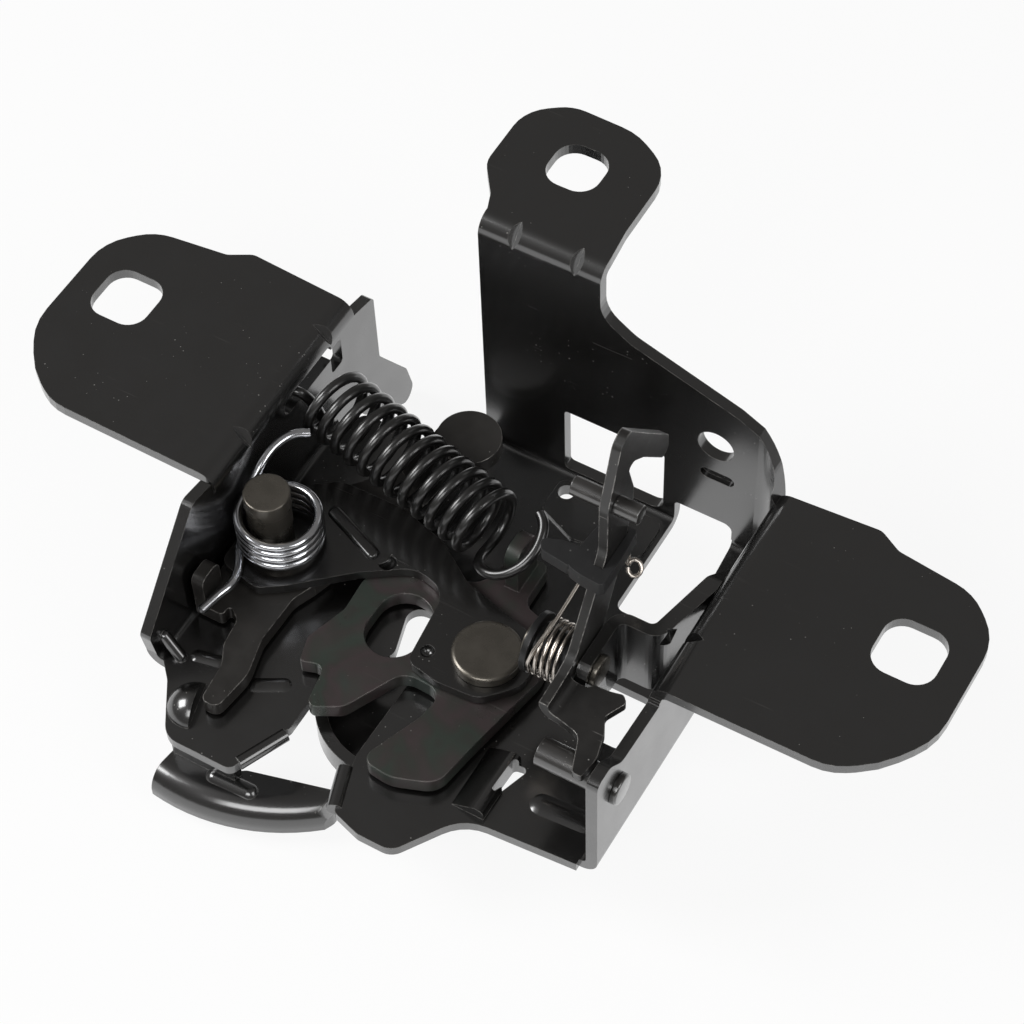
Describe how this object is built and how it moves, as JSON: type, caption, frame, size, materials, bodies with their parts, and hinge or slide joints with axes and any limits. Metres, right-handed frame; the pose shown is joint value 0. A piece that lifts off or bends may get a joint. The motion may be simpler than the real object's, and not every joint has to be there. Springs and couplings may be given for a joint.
{
  "type": "bonnet latch",
  "caption": "Black pressed-steel bonnet latch with square-holed fixing ears, a rotary claw over a striker slot, a sprung pawl, an extension spring and an upright release lever.",
  "frame": {"origin": "midway between the two side bolt holes, on the underside of the side ears", "axes": "+X from the left ear to the right ear as seen from the striker slot's mouth, +Y from the slot's mouth to the rear wall, +Z out of the open side of the box"},
  "size_m": [0.208, 0.1382, 0.0991],
  "materials": {
    "frame_black": "satin black electrocoat",
    "claw_phosphate": "dark phosphate with a faint oil sheen",
    "stud_steel": "dark satin",
    "washer_steel": "plain",
    "plate_black": "satin black",
    "pawl_black": "matte black",
    "spring_zinc": "bright zinc",
    "spring_black": "gloss black",
    "lever_black": "matte black with worn edges",
    "bush_plastic": "matte",
    "spring_steel": "bright",
    "clip_plastic": "matte",
    "pin_black": "satin"
  },
  "bodies": {
    "frame": {"base_frame": "frame_black", "claw_stud": "stud_steel", "claw_washer": "washer_steel", "pivot_plate": "plate_black", "pawl_stud": "stud_steel", "pawl_washer": "washer_steel", "pawl_spring": "spring_zinc", "claw_spring": "spring_black", "lever_pin": "stud_steel", "lever_bush": "bush_plastic", "lever_spring": "spring_steel", "stop_pin": "pin_black"},
    "claw": {"claw": "claw_phosphate"},
    "pawl": {"pawl": "pawl_black"},
    "lever": {"release_lever": "lever_black", "lever_clip": "clip_plastic", "lever_cross_pin": "pin_black"}
  },
  "joints": [
    {"name": "claw_hinge", "type": "hinge", "parent": "frame", "child": "claw", "pos_m": [0.0131, -0.0283, -0.025], "axis": [0, 0, -1], "range_deg": [0, 45], "stiffness_Nm_per_rad": 0.4, "springref_deg": -34.38, "deforming": ["claw_spring"]},
    {"name": "pawl_hinge", "type": "hinge", "parent": "frame", "child": "pawl", "pos_m": [-0.0406, -0.0247, -0.025], "axis": [0, 0, 1], "range_deg": [0, 10], "stiffness_Nm_per_rad": 0.3, "springref_deg": -34.38, "deforming": ["pawl_spring"]},
    {"name": "lever_hinge", "type": "hinge", "parent": "frame", "child": "lever", "pos_m": [0.035, -0.0292, -0.004], "axis": [-1, 0, 0], "range_deg": [0, 20], "stiffness_Nm_per_rad": 0.2, "springref_deg": -34.38, "deforming": ["lever_spring"]}
  ]
}
